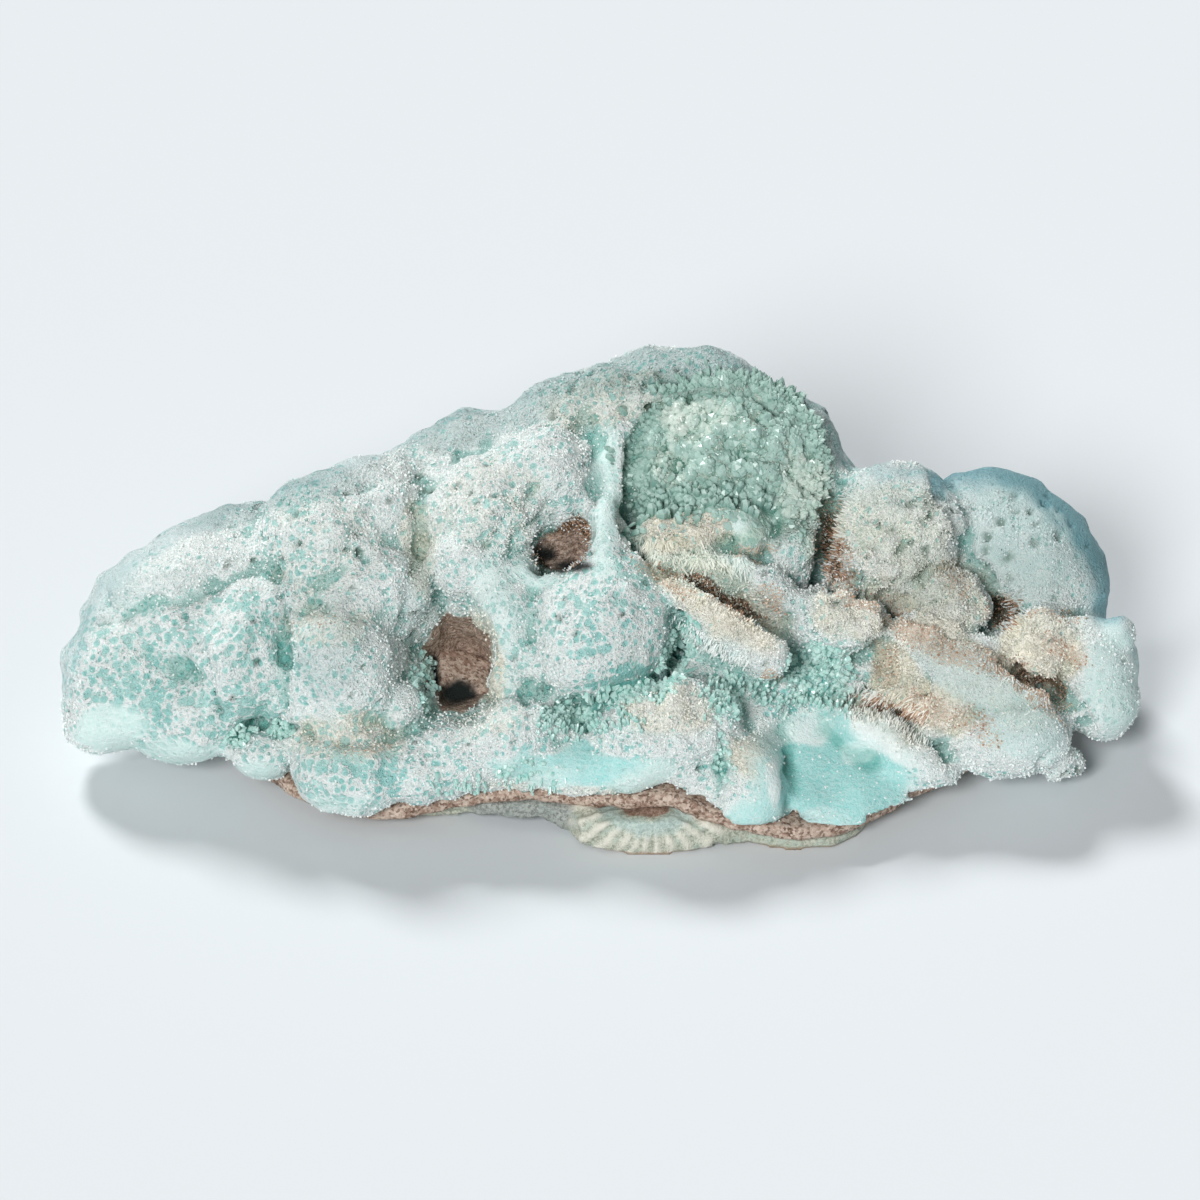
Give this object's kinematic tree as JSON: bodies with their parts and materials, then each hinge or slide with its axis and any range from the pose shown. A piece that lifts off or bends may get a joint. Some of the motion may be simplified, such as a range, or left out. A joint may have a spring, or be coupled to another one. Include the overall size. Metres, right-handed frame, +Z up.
{
  "type": "blue aragonite specimen",
  "caption": "Lumpy blue-green aragonite crust with caves and a broken crystal-lined dome, on a thin brown rock plate with a paler crust beneath; rests as a hand specimen.",
  "frame": {"origin": "bottom centre of the bounding box, on the plane it rests on", "axes": "+X along the specimen's length, +Y from the broken front edge to the back, +Z up"},
  "size_m": [0.1402, 0.065, 0.045],
  "materials": {
    "aragonite": "waxy, white crystal network over blue-green cells",
    "rock": "dull granular",
    "pale_aragonite": "dull fibrous"
  },
  "bodies": {
    "root": {"upper_crust": "aragonite", "rock_plate": "rock", "under_crust": "pale_aragonite"}
  },
  "joints": []
}
